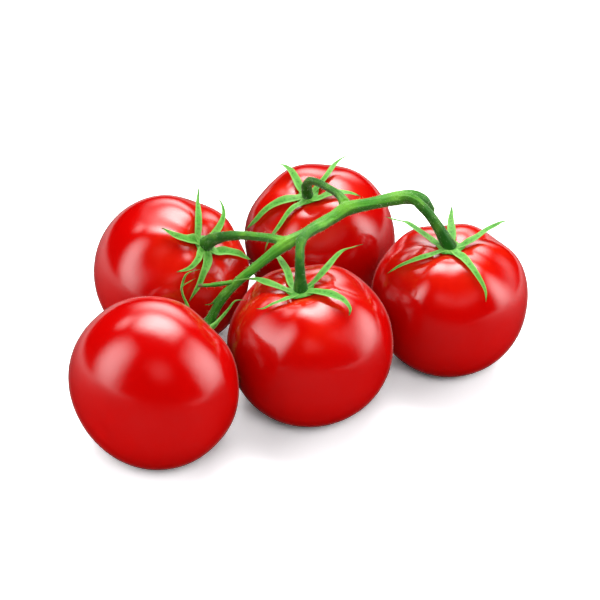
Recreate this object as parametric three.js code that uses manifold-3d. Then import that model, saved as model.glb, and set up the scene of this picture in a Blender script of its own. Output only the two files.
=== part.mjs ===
// A truss of five ripe tomatoes lying on a flat surface, in millimetres, +Z up.
// Each fruit rests on the surface; the main stem arches over them and holds them by their stalks.
// The origin is on the surface, under the middle of the truss. +X runs along its length.
import * as THREE from "three";
import { mergeVertices } from "three/addons/utils/BufferGeometryUtils.js";
import Module from "manifold-3d";

const wasm = await Module();
wasm.setup();

// Driving dimensions, shared by all the fruits, sepals and stalks.
const GAP = 0.3; // kept between pieces that touch
const SETTLE = 0.35; // how far a fruit flattens where it rests
const BARREL = 2.2; // exponent of a fruit's outline: 2 is an ellipse, more is squarer
const DIMPLE = { depth: 3.5, spread: 7.5 }; // hollow at the stem end
const NAVEL = { depth: 0.5, spread: 3 }; // shallow hollow at the blossom end
const LOBE_BELT = { down: 38, spread: 26 }; // where the shoulder lobes are strongest, in degrees
const SEPAL = { halfThickness: 0.45, root: 0.75 }; // root is its width share there
const SEPAL_ROOT_LIFT = 1.4; // a sepal's root lies inside the receptacle, this far over the dimple
const RECEPTACLE = { topRadius: 3.6, baseRadius: 2.2, base: 0.6, top: 2.2 }; // heights over the dimple
const SEAT_DEPTH = 1.5; // how far a stalk's path runs on below its seat
const KNUCKLE_GAP = 0.009; // share of a path left open at a knuckle

// Fineness of the solids. Ring angles are in degrees down from the stem end, closer in the dimple.
const FRAME_STEPS = 60; // along a path, for the frames that a rod is swept in
const FRUIT_TURNS = 30;
const STEM_END_RINGS = [0, 2.5, 5, 8.5];
const RING_STEP = 12;
const BLADE_STEPS = 8;
const BLADE_SIDES = 6;
const DISC_SIDES = 14;

// Fruits. x and y place the middle, height comes from resting on the surface. lean is how far the
// stem end is tipped from straight up, and towards is the bearing it is tipped to, in degrees.
// taper narrows the top of a resting fruit, or widens it where it is negative, and swell is a broad
// bulge on one side.
// A sepal's stations are [bearing round the stalk, angle down from the stem end, lift off the skin].
// One sepal of the front left fruit curls and splits into two threads.
const FRUITS = {
  front_left: {
    x: -56.2, y: -53.3, radius: 32.2, flatness: 0.86, lean: 79, towards: 54, taper: 0.05,
    lobes: { count: 5, size: 0.02, phase: 20 },
    swell: { towards: [-0.35, -0.5, -0.79], height: 1.4, spread: 50 },
    sepals: [
      { halfWidth: 1.5, stations: [[-150, 8, 1], [-150, 17, 3.2], [-150, 26, 6.3], [-146, 30, 8.8]] },
      {
        halfWidth: 0.6,
        stations: [
          [-150, 8, 1], [-150, 17, 3.2], [-149, 28, 7.2], [-146, 30, 8.8], [-136, 35, 11.7], [-128, 34, 14.8],
        ],
      },
      {
        halfWidth: 0.5,
        stations: [[-150, 8, 1], [-150, 17, 3.2], [-147, 29, 7.6], [-137, 31, 9.4], [-130, 32, 11.4]],
      },
      {
        halfWidth: 1.5,
        stations: [
          [-80, 8, 1.1], [-76, 12, 3.6], [-78, 15, 8.1], [-81, 17, 11.7], [-84, 20, 15.1], [-74, 23, 17.5],
        ],
      },
      { halfWidth: 2, stations: [[-8, 8, 1], [4, 26, 1.4], [10, 44, 1.4]] },
      { halfWidth: 2, stations: [[72, 8, 1], [78, 26, 2], [76, 46, 2]] },
      { halfWidth: 2, stations: [[150, 8, 1], [152, 24, 2], [149, 42, 2.4]] },
    ],
  },
  back_left: {
    x: -54.5, y: 23, radius: 31, flatness: 0.95, lean: 42, towards: -36, taper: 0,
    lobes: { count: 6, size: 0.03, phase: 10 },
    swell: { towards: [-0.6, 0.4, 0.69], height: 1.6, spread: 45 },
    sepals: [
      {
        halfWidth: 2.1,
        stations: [[164, 7, 1.2], [136, 13, 1.9], [122, 22, 2.8], [116, 31, 4.5], [113, 39, 8.5]],
      },
      {
        halfWidth: 1.6,
        stations: [[70, 8, 1.2], [71, 18, 2.6], [74, 25, 3.5], [80, 31, 5.2], [89, 33, 7.5]],
      },
      { halfWidth: 2.3, stations: [[-173, 8, 1.2], [-163, 15, 1.8], [-166, 23, 2.1], [-172, 34, 4]] },
      { halfWidth: 1.6, stations: [[-112, 8, 1.1], [-108, 18, 1.6], [-110, 26, 1.8], [-118, 35, 2.4]] },
      {
        halfWidth: 2.1,
        stations: [[-72, 8, 1.1], [-82, 16, 1.6], [-88, 24, 1.9], [-89, 32, 2], [-91, 47, 2.4]],
      },
      { halfWidth: 1.9, stations: [[-15, 8, 1.3], [0, 13, 1.9], [5, 20, 2.2], [10, 38, 2.6]] },
    ],
  },
  back_centre: {
    x: 6, y: 52.2, radius: 31.6, flatness: 0.93, lean: 21, towards: -122, taper: 0,
    lobes: { count: 5, size: 0.03, phase: 35 },
    swell: { towards: [0, 0.5, 0.8], height: 0.4, spread: 30 },
    sepals: [
      {
        halfWidth: 1.9,
        stations: [[121, 8, 1.3], [116, 18, 2], [115, 24, 2.8], [118, 31, 4.8], [124, 32, 6]],
      },
      { halfWidth: 1.5, stations: [[35, 8, 1.3], [41, 20, 2], [47, 32, 4], [40, 40, 8.5]] },
      {
        halfWidth: 2,
        stations: [[-169, 8, 1.3], [-164, 14, 2], [-166, 25, 2.2], [-166, 42, 2], [-168, 55, 2.4]],
      },
      {
        halfWidth: 1.7,
        stations: [[-119, 8, 1.3], [-128, 15, 1.6], [-132, 33, 1.9], [-136, 48, 2.2], [-135, 55, 2.8]],
      },
      { halfWidth: 2.1, stations: [[-40, 8, 1.2], [-19, 15, 1.8], [-8, 28, 2.2], [-7, 39, 2.2]] },
    ],
  },
  front_centre: {
    x: 1.5, y: -26, radius: 31.7, flatness: 0.92, lean: 9, towards: -146, taper: -0.03,
    lobes: { count: 5, size: 0.03, phase: 55 },
    swell: { towards: [1, 0, 0], height: 0, spread: 45 },
    sepals: [
      {
        halfWidth: 1.8,
        stations: [
          [-178, 7, 1.2], [167, 17, 2.2], [160, 24, 3.2], [163, 28, 5.5], [175, 30, 8.5], [191, 33, 14],
        ],
      },
      { halfWidth: 1.5, stations: [[140, 7, 1.2], [119, 15, 2.6], [117, 29, 5.5], [118, 40, 7.4]] },
      {
        halfWidth: 1.5,
        stations: [[28, 8, 1.4], [32, 16, 3], [41, 26, 6.5], [41, 31, 9], [35, 33, 12], [29, 35, 15]],
      },
      {
        halfWidth: 1.8,
        stations: [
          [-30, 8, 1.2], [-33, 18, 2.2], [-32, 25, 3], [-31, 30, 3.2], [-34, 37, 2.6], [-40, 40, 2],
        ],
      },
      {
        halfWidth: 1.2,
        stations: [[-124, 7, 1.2], [-133, 14, 1.4], [-141, 21, 1.6], [-147, 28, 1.9], [-151, 31, 3]],
      },
    ],
  },
  right: {
    x: 57, y: 6, radius: 31, flatness: 0.935, lean: 5, towards: -110, taper: -0.07,
    lobes: { count: 6, size: 0.03, phase: 5 },
    swell: { towards: [1, 0, 0], height: 0, spread: 45 },
    sepals: [
      {
        halfWidth: 1.7,
        stations: [[164, 7, 1.2], [152, 16, 2], [141, 27, 4], [140, 32, 6], [144, 35, 8.5], [143, 42, 11.5]],
      },
      { halfWidth: 2, stations: [[82, 7, 1.2], [84, 15, 1.8], [84, 21, 3], [82, 34, 7.5]] },
      {
        halfWidth: 1.5,
        stations: [[-134, 8, 1.2], [-140, 18, 1.6], [-150, 27, 1.8], [-157, 36, 1.8], [-162, 49, 1.8]],
      },
      {
        halfWidth: 1.8,
        stations: [[0, 7, 1.4], [9, 13, 2], [19, 25, 5], [17, 32, 9], [10, 35, 11.6], [7, 38, 12.5]],
      },
      {
        halfWidth: 2,
        stations: [[-68, 8, 1.2], [-66, 19, 1.6], [-64, 29, 1.7], [-62, 45, 1.7], [-65, 54, 1.9]],
      },
    ],
  },
};

// The main stem runs from the cut peduncle along the rachis to the last fruit, and a pedicel
// branches off to each other fruit. Points run along the middle, with the radius at each point.
// A knuckle is where the fruit snaps off, as a share of the length.
const RACHIS = {
  points: [
    [48, 15.6, 64.7], [45.1, 12.8, 70.2], [40.6, 9.6, 74.1], [35.2, 6.2, 75.7], [25, 2.5, 75.4],
    [15.4, 1.4, 73.6], [10.4, -1.5, 71.6], [5.6, -5, 70.6], [-0.8, -10.2, 69.1], [-7.3, -14.4, 67.7],
    [-17.8, -19, 61.3], [-26.8, -22.8, 54.8], [-30.6, -24.5, 50.9], [-33.6, -25.8, 46.6],
    [-36.4, -27.4, 41.6],
  ],
  radii: [2.7, 2.9, 2.9, 2.8, 2.35, 2.7, 2.4, 2.3, 2.2, 2.4, 1.8, 1.8, 1.8, 1.75, 1.9, 2.6],
  knuckle: 0.93,
};
const PEDICELS = {
  front_left: RACHIS,
  right: {
    points: [
      [35.2, 5.6, 76], [38.2, 5.2, 76.9], [41.2, 5, 75.5], [44.4, 5.2, 72.3], [47.3, 5.2, 68.9],
      [49.8, 5, 65.3], [51.9, 4.7, 61.9], [53.6, 4.3, 58.9],
    ],
    radii: [2.2, 1.8, 1.8, 1.85, 1.9, 2, 2.2, 2.5, 2.9],
    knuckle: 0.34,
  },
  back_centre: {
    points: [
      [14.8, 3.5, 74.7], [12.8, 11, 74.1], [8.6, 22, 71.3], [3.6, 34, 67.5], [1.2, 38.8, 64.5],
      [0.3, 41, 61.3], [0.4, 42, 58.4],
    ],
    radii: [2.2, 1.6, 1.5, 1.5, 1.8, 2.1, 2.2, 2.4],
    knuckle: 0.76,
  },
  front_centre: {
    points: [
      [10.2, -1.5, 71.4], [6.1, -7, 71.2], [2.7, -12.3, 72.6], [0.1, -16.5, 73.1], [-1.7, -20, 72.5],
      [-2.4, -22.8, 71], [-2.5, -25.3, 68.4], [-2.4, -27.1, 63.8],
    ],
    radii: [2, 1.85, 1.8, 1.75, 1.75, 1.7, 1.7, 1.85, 2.7],
    knuckle: 0.52,
  },
  back_left: {
    points: [
      [-7.3, -14.4, 67.9], [-12.1, -10.6, 67.4], [-18, -6.2, 65.7], [-24, -0.5, 62.9], [-30.2, 4.7, 59.6],
      [-34.6, 8, 56.6], [-37.6, 10.3, 53.9],
    ],
    radii: [2.2, 1.75, 1.6, 1.65, 1.8, 2.2, 2.7, 3.1],
    knuckle: 0.6,
  },
};
const BRACT = {
  points: [
    [-27.6, -23, 54.6], [-30.6, -24.2, 53.2], [-34, -25.4, 49.7], [-36.1, -26, 48], [-38.3, -26.4, 48],
  ],
  halfWidth: 0.7, halfThickness: 0.35, root: 0.9,
};
const SPENT_STALK = {
  points: [[-30.6, -23.1, 55.5], [-32.9, -23.4, 55.3], [-36.5, -23.6, 54.9], [-40.6, -23.6, 54.8]],
  radii: [0.85, 1, 0.8, 0.75],
};

const SKIN = new THREE.MeshStandardMaterial({ color: 0xcf0a05, roughness: 0.25, metalness: 0 });
const STEM_GREEN = new THREE.MeshStandardMaterial({ color: 0x4f9a3c, roughness: 0.6, metalness: 0 });
const SEPAL_GREEN = new THREE.MeshStandardMaterial({ color: 0x5fae45, roughness: 0.6, metalness: 0 });
const STALK_GREEN = new THREE.MeshStandardMaterial({ color: 0x2f7a38, roughness: 0.6, metalness: 0 });
const WITHERED = new THREE.MeshStandardMaterial({ color: 0x8a7a35, roughness: 0.8, metalness: 0 });

const radians = THREE.MathUtils.degToRad;
const vectors = (points) => points.map((p) => new THREE.Vector3(...p));

// A closed geometry as a manifold-3d solid, and back.
function solid(geometry) {
  const bare = geometry.clone();
  bare.deleteAttribute("normal");
  bare.deleteAttribute("uv");
  const merged = mergeVertices(bare, 1e-4);
  return new wasm.Manifold(new wasm.Mesh({
    numProp: 3,
    vertProperties: merged.attributes.position.array,
    triVerts: new Uint32Array(merged.index.array),
  }));
}

function geometryOf(body) {
  const mesh = body.getMesh();
  const geometry = new THREE.BufferGeometry();
  geometry.setAttribute("position", new THREE.BufferAttribute(mesh.vertProperties, 3));
  geometry.setIndex(new THREE.BufferAttribute(mesh.triVerts, 1));
  geometry.computeVertexNormals();
  return geometry;
}

function moveVertices(geometry, move) {
  const position = geometry.getAttribute("position");
  const point = new THREE.Vector3();
  for (let i = 0; i < position.count; i++) {
    point.fromBufferAttribute(position, i);
    move(point);
    position.setXYZ(i, point.x, point.y, point.z);
  }
  return geometry;
}

// A point on a fruit's skin, about its middle, with the stem end up.
function skinPoint(fruit, bearing, down) {
  const slope = radians(down);
  const turn = radians(bearing);
  const across = fruit.radius * Math.abs(Math.sin(slope)) ** (2 / BARREL);
  const cosine = Math.cos(slope);
  let up = fruit.flatness * fruit.radius * Math.sign(cosine) * Math.abs(cosine) ** (2 / BARREL);
  if (cosine > 0) up -= DIMPLE.depth * Math.exp(-((across / DIMPLE.spread) ** 2));
  else up += NAVEL.depth * Math.exp(-((across / NAVEL.spread) ** 2));
  const belt = Math.sin(slope) * Math.exp(-(((down - LOBE_BELT.down) / LOBE_BELT.spread) ** 2));
  const wave = Math.cos(fruit.lobes.count * radians(bearing - fruit.lobes.phase));
  const swell = 1 + fruit.lobes.size * belt * wave;
  return new THREE.Vector3(across * Math.cos(turn), across * Math.sin(turn), up).multiplyScalar(swell);
}

// The turn that tips a fruit's stem end from straight up to where it points.
function tip(fruit) {
  const bearing = radians(fruit.towards);
  const hinge = new THREE.Vector3(-Math.sin(bearing), Math.cos(bearing), 0);
  return new THREE.Quaternion().setFromAxisAngle(hinge, radians(fruit.lean));
}

// Turns a point on a fruit with its stem end up into its place on the tipped fruit.
function tipped(fruit, point) {
  const placed = point.applyQuaternion(tip(fruit));
  const widening = 1 - (fruit.taper * placed.z) / fruit.radius;
  placed.multiply(new THREE.Vector3(widening, widening, 1));
  const bulge = new THREE.Vector3(...fruit.swell.towards).normalize();
  const away = THREE.MathUtils.radToDeg(placed.angleTo(bulge)) / fruit.swell.spread;
  return placed.addScaledVector(bulge, fruit.swell.height * Math.exp(-(away ** 2)));
}

// The height of a fruit's middle when it rests on the surface.
function restHeight(fruit) {
  let lowest = 0;
  for (let down = 0; down <= 180; down += 3) {
    for (let bearing = 0; bearing < 360; bearing += 6) {
      lowest = Math.min(lowest, tipped(fruit, skinPoint(fruit, bearing, down)).z);
    }
  }
  return -lowest - SETTLE;
}

// A place on a fruit's skin, or lifted off it, in the part's frame, with the skin's outward normal.
function onFruit(fruit, bearing, down, lift = 0) {
  const middle = new THREE.Vector3(fruit.x, fruit.y, fruit.height);
  const place = (b, d) => tipped(fruit, skinPoint(fruit, b, d));
  const outward = new THREE.Vector3(0, 0, 1).applyQuaternion(tip(fruit));
  if (down > 0) {
    const alongDown = place(bearing, down + 0.5).sub(place(bearing, down - 0.5));
    const alongTurn = place(bearing + 0.5, down).sub(place(bearing - 0.5, down));
    outward.crossVectors(alongDown, alongTurn).normalize();
  }
  return { point: place(bearing, down).addScaledVector(outward, lift).add(middle), outward };
}

// A fruit: an outline turned round its axis, with lobes, and flattened where it rests.
function tomato(fruit) {
  const downs = [...STEM_END_RINGS];
  for (let down = RING_STEP; down <= 180; down += RING_STEP) downs.push(down);
  const outline = downs.reverse().map((down) => new THREE.Vector2(down % 180 ? 1 : 0, down));
  const skin = new THREE.LatheGeometry(outline, FRUIT_TURNS);
  const middle = new THREE.Vector3(fruit.x, fruit.y, fruit.height);
  moveVertices(skin, (p) => {
    const bearing = THREE.MathUtils.radToDeg(Math.atan2(p.x, p.z));
    p.copy(tipped(fruit, skinPoint(fruit, bearing, p.y))).add(middle);
  });
  return solid(skin).subtract(solid(surfaceUnder(fruit)));
}

// A block whose top is the surface that the truss lies on.
function surfaceUnder(fruit) {
  const side = 3 * fruit.radius;
  return new THREE.BoxGeometry(side, side, side).translate(fruit.x, fruit.y, -side / 2);
}

// A closed rod whose radius changes along a smooth path, with flat ends, between two shares of it.
function rod({ points, radii }, { from = 0, to = 1, sides = 10, steps = 24 } = {}) {
  const path = new THREE.CatmullRomCurve3(vectors(points), false, "centripetal");
  const frames = path.computeFrenetFrames(FRAME_STEPS);
  const geometry = new THREE.CylinderGeometry(1, 1, 1, sides, steps);
  moveVertices(geometry, (p) => {
    const { x, y, z } = p;
    const along = THREE.MathUtils.lerp(from, to, y + 0.5);
    const tangent = path.getTangentAt(along);
    const nearest = frames.normals[Math.round(along * FRAME_STEPS)];
    const sideways = new THREE.Vector3().crossVectors(tangent, nearest).normalize();
    const upwards = new THREE.Vector3().crossVectors(sideways, tangent);
    const radius = between(radii, path.getUtoTmapping(along));
    p.copy(path.getPointAt(along)).addScaledVector(sideways, x * radius);
    p.addScaledVector(upwards, z * radius);
  });
  return solid(geometry);
}

// The value a share of the way along a list, eased from each entry to the next.
function between(values, share) {
  const place = share * (values.length - 1);
  const before = Math.min(Math.floor(place), values.length - 2);
  const ease = THREE.MathUtils.smoothstep(place - before, 0, 1);
  return THREE.MathUtils.lerp(values[before], values[before + 1], ease);
}

// A thin pointed blade, lens-shaped across, along a path. facingAt says which way its face looks.
function blade(path, facingAt, { halfWidth, halfThickness, root }) {
  const outline = [new THREE.Vector2(0, 0), new THREE.Vector2(root, 0)];
  for (let step = 1; step < BLADE_STEPS; step++) {
    const along = step / BLADE_STEPS;
    const spread = Math.min(1, root + 2 * along) * (1 - along) ** 0.6;
    outline.push(new THREE.Vector2(spread, along));
  }
  outline.push(new THREE.Vector2(0, 1));
  const geometry = new THREE.LatheGeometry(outline, BLADE_SIDES);
  moveVertices(geometry, (p) => {
    const { x, y, z } = p;
    const tangent = path.getTangentAt(y);
    const across = new THREE.Vector3().crossVectors(tangent, facingAt(y)).normalize();
    const face = new THREE.Vector3().crossVectors(across, tangent);
    p.copy(path.getPointAt(y)).addScaledVector(across, x * halfWidth);
    p.addScaledVector(face, z * halfThickness);
  });
  return solid(geometry);
}

// One sepal, from under the stalk out along its stations.
function sepal(fruit, { halfWidth, stations }) {
  const bearing = stations[0][0];
  const places = [onFruit(fruit, bearing, 1, SEPAL_ROOT_LIFT)];
  for (const station of stations) places.push(onFruit(fruit, ...station));
  const path = new THREE.CatmullRomCurve3(places.map((p) => p.point), false, "centripetal");
  const facingAt = (along) => {
    const share = along * (places.length - 1);
    const before = Math.min(Math.floor(share), places.length - 2);
    return places[before].outward.clone().lerp(places[before + 1].outward, share - before);
  };
  return blade(path, facingAt, { ...SEPAL, halfWidth });
}

// The calyx: the sepals, joined round the small disc that the stalk ends on.
function calyx(fruit) {
  const { topRadius, baseRadius, base, top } = RECEPTACLE;
  const { point, outward } = onFruit(fruit, 0, 0);
  const disc = new THREE.CylinderGeometry(topRadius, baseRadius, top - base, DISC_SIDES);
  disc.applyQuaternion(new THREE.Quaternion().setFromUnitVectors(new THREE.Vector3(0, 1, 0), outward));
  disc.translate(...point.addScaledVector(outward, (base + top) / 2).toArray());
  return fruit.sepals.reduce((joined, each) => joined.add(sepal(fruit, each)), solid(disc));
}

// The whole pedicel of a fruit: its points run on to just below its seat on the calyx.
function pedicel(place) {
  const { points, radii, knuckle } = PEDICELS[place];
  const end = onFruit(FRUITS[place], 0, 0, RECEPTACLE.top + GAP - SEAT_DEPTH).point;
  return { points: [...points, end.toArray()], radii, knuckle };
}

// A stalk, from the knuckle where a fruit snaps off to its flat seat on the calyx.
function stalk(place) {
  const path = pedicel(place);
  const { point, outward } = onFruit(FRUITS[place], 0, 0);
  const side = 4 * RECEPTACLE.topRadius;
  const below = new THREE.BoxGeometry(side, side, side);
  below.applyQuaternion(new THREE.Quaternion().setFromUnitVectors(new THREE.Vector3(0, 1, 0), outward));
  below.translate(...point.addScaledVector(outward, RECEPTACLE.top + GAP - side / 2).toArray());
  return rod(path, { from: path.knuckle, steps: 8 }).subtract(solid(below));
}

// The main stem: the rachis with its branches up to their knuckles, and a small bract, in one.
function mainStem() {
  const bractPath = new THREE.CatmullRomCurve3(vectors(BRACT.points), false, "centripetal");
  const upwards = new THREE.Vector3(0, 0, 1);
  let stem = blade(bractPath, () => upwards, BRACT);
  for (const place of Object.keys(PEDICELS)) {
    const path = pedicel(place);
    const steps = Math.min(36, path.points.length * 3);
    stem = stem.add(rod(path, { to: path.knuckle - KNUCKLE_GAP, steps }));
  }
  return stem;
}

const truss = new THREE.Group();
function addPiece(name, body, material) {
  const piece = new THREE.Mesh(geometryOf(body), material);
  piece.name = name;
  truss.add(piece);
}

for (const fruit of Object.values(FRUITS)) fruit.height = restHeight(fruit);
for (const [place, fruit] of Object.entries(FRUITS)) {
  addPiece(`tomato_${place}`, tomato(fruit), SKIN);
  addPiece(`calyx_${place}`, calyx(fruit), SEPAL_GREEN);
  addPiece(`stalk_${place}`, stalk(place), STALK_GREEN);
}
addPiece("main_stem", mainStem(), STEM_GREEN);
addPiece("spent_flower_stalk", rod(SPENT_STALK, { sides: 8, steps: 9 }), WITHERED);

export default truss;
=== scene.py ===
"""A truss of ripe tomatoes on a pale floor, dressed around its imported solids.

Shapes are worked out in millimetres, in the part's own frame, and written into the meshes in metres.
Angles are in degrees. A bearing is measured round a fruit's own axis from its stem end.
"""

import logging
from dataclasses import dataclass, field
from enum import Enum

import bpy
import numpy as np
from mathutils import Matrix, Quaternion, Vector


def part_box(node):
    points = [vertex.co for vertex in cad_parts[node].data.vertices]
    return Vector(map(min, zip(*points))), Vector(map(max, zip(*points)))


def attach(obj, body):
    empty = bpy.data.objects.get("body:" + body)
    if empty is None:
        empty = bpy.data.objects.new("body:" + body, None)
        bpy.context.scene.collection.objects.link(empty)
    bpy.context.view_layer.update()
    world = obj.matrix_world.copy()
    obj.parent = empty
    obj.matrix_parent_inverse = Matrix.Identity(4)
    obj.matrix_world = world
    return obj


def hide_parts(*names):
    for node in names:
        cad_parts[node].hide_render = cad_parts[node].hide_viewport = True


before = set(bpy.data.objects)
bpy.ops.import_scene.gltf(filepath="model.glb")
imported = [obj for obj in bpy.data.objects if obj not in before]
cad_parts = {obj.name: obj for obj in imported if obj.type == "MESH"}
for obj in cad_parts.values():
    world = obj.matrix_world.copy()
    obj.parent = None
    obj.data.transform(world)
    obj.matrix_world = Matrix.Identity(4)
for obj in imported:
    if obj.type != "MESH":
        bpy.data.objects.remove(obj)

LOG = logging.getLogger("truss")
MM = 0.001
BODY = "root"
Array = np.ndarray
Colour = tuple[float, float, float]


class Place(Enum):
    """Where a fruit lies in the truss."""

    FRONT_LEFT = "front_left"
    BACK_LEFT = "back_left"
    BACK_CENTRE = "back_centre"
    FRONT_CENTRE = "front_centre"
    RIGHT = "right"


class Slot(Enum):
    """The record's material slots."""

    SKIN = "tomato_skin"
    STEM = "main_stem_green"
    STALK = "stalk_green"
    CALYX = "calyx_green"
    WITHERED = "withered_stalk"


# ---------------------------------------------------------------------------------------------
# Numbers and curves
# ---------------------------------------------------------------------------------------------


def ease(low: float, high: float, value: Array) -> Array:
    """Rise smoothly from 0 at low to 1 at high.

    Args:
        low: Where the rise starts.
        high: Where the rise ends.
        value: The values to ease.

    Returns:
        The eased values, from 0 to 1.
    """
    share = np.clip((value - low) / (high - low), 0.0, 1.0)
    return share * share * (3.0 - 2.0 * share)


def bell(distance: Array, spread: float) -> Array:
    """A bump of height 1 that fades over its spread."""
    return np.exp(-((distance / spread) ** 2))


def unit(vectors: Array) -> Array:
    """The vectors, each made one unit long."""
    return vectors / np.linalg.norm(vectors, axis=-1, keepdims=True)


class Path:
    """A smooth curve through chosen points, walked by share of its length."""

    PER_SPAN = 24

    def __init__(self, points: list[tuple[float, float, float]]) -> None:
        """Fit a curve through the points, which turns tightly where they are close.

        Args:
            points: The points it passes through, in order.
        """
        knots = np.array(points, float)
        padded = np.vstack([2 * knots[0] - knots[1], knots, 2 * knots[-1] - knots[-2]])
        spans = [self._span(*padded[i:i + 4]) for i in range(len(knots) - 1)]
        self.dense = np.vstack([*spans, knots[-1:]])
        steps = np.linalg.norm(np.diff(self.dense, axis=0), axis=1)
        walked = np.concatenate([[0.0], np.cumsum(steps)])
        self.length = float(walked[-1])
        self.shares = walked / walked[-1]
        self.knot_shares = self.shares[::self.PER_SPAN]

    def _span(self, before: Array, start: Array, end: Array, after: Array) -> Array:
        """Points along one span of the curve.

        Args:
            before: The point before the span.
            start: Where the span starts.
            end: Where the span ends.
            after: The point after the span.

        Returns:
            The points, without the last one.
        """
        gaps = [np.linalg.norm(b - a) ** 0.5 for a, b in ((before, start), (start, end), (end, after))]
        leave = (start - before) / gaps[0] - (end - before) / (gaps[0] + gaps[1]) + (end - start) / gaps[1]
        arrive = (end - start) / gaps[1] - (after - start) / (gaps[1] + gaps[2]) + (after - end) / gaps[2]
        leave = leave * gaps[1]
        arrive = arrive * gaps[1]
        t = np.linspace(0.0, 1.0, self.PER_SPAN, endpoint=False)[:, None]
        square = 3 * (end - start) - 2 * leave - arrive
        cube = 2 * (start - end) + leave + arrive
        return start + leave * t + square * t**2 + cube * t**3

    def at(self, share: Array) -> Array:
        """Points a share of the way along."""
        return np.stack([np.interp(share, self.shares, self.dense[:, i]) for i in range(3)], -1)

    def tangent(self, share: Array) -> Array:
        """Unit directions of travel a share of the way along."""
        step = 0.01
        return unit(self.at(np.clip(share + step, 0, 1)) - self.at(np.clip(share - step, 0, 1)))

    def knot_place(self, share: Array) -> Array:
        """The share of the way along the chosen points, which stand unevenly along the curve."""
        return np.interp(share, self.knot_shares, np.linspace(0.0, 1.0, len(self.knot_shares)))


def between(values: list[float], share: Array) -> Array:
    """Values a share of the way along a list, eased from each entry to the next.

    Args:
        values: The list of values.
        share: How far along the list, from 0 to 1.

    Returns:
        The eased values.
    """
    place = share * (len(values) - 1)
    before = np.clip(np.floor(place).astype(int), 0, len(values) - 2)
    rise = ease(0.0, 1.0, place - before)
    entries = np.array(values, float)
    return entries[before] * (1 - rise) + entries[before + 1] * rise


# ---------------------------------------------------------------------------------------------
# Hands on Blender's meshes
# ---------------------------------------------------------------------------------------------


def deselect_all() -> None:
    """Leave nothing selected, so that an operator acts only on what comes next."""
    bpy.ops.object.select_all(action="DESELECT")


def pick(piece: bpy.types.Object) -> None:
    """Make an object the active one and the only one selected."""
    deselect_all()
    bpy.context.view_layer.objects.active = piece
    piece.select_set(True)


def coordinates(piece: bpy.types.Object) -> Array:
    """A mesh's vertices in metres, one row each."""
    flat = np.empty(len(piece.data.vertices) * 3, np.float32)
    piece.data.vertices.foreach_get("co", flat)
    return flat.reshape(-1, 3).astype(float)


def move_vertices(piece: bpy.types.Object, places: Array) -> None:
    """Put a mesh's vertices at new places, in metres."""
    piece.data.vertices.foreach_set("co", places.astype(np.float32).ravel())
    piece.data.update()


def store(piece: bpy.types.Object, name: str, rows: Array) -> None:
    """Keep three numbers for each vertex under a name that a material can read.

    Args:
        piece: The mesh object.
        name: The attribute's name.
        rows: Three numbers for each vertex.
    """
    attribute = piece.data.attributes.new(name, "FLOAT_VECTOR", "POINT")
    attribute.data.foreach_set("vector", rows.astype(np.float32).ravel())


def apply_modifier(piece: bpy.types.Object, kind: str, **settings: object) -> None:
    """Add a modifier with its settings and apply it at once.

    Args:
        piece: The mesh object.
        kind: The modifier's type.
        settings: The modifier's own settings.
    """
    pick(piece)
    modifier = piece.modifiers.new(kind.lower(), kind)
    for name, value in settings.items():
        setattr(modifier, name, value)
    bpy.ops.object.modifier_apply(modifier=modifier.name)


def join(pieces: list[bpy.types.Object], name: str) -> bpy.types.Object:
    """Join mesh objects into the first of them.

    Args:
        pieces: The objects to join.
        name: The name of the joined object.

    Returns:
        The joined object.
    """
    pick(pieces[0])
    for piece in pieces:
        piece.select_set(True)
    if len(pieces) > 1:
        bpy.ops.object.join()
    pieces[0].name = name
    pieces[0].data.name = name
    return pieces[0]


def shade_smooth(piece: bpy.types.Object) -> None:
    """Shade a mesh smooth all over."""
    pick(piece)
    bpy.ops.object.shade_smooth()


def hand_in(piece: bpy.types.Object, slot: Slot, material: bpy.types.Material, *nodes: str) -> None:
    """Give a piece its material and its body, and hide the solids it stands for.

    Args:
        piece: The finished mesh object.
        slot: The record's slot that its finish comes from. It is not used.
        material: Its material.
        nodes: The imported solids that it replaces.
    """
    piece.data.materials.clear()
    piece.data.materials.append(material)
    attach(piece, BODY)
    if nodes:
        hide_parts(*nodes)
    LOG.info("%s: %d faces", piece.name, len(piece.data.polygons))


# ---------------------------------------------------------------------------------------------
# Finishes
# ---------------------------------------------------------------------------------------------


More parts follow.
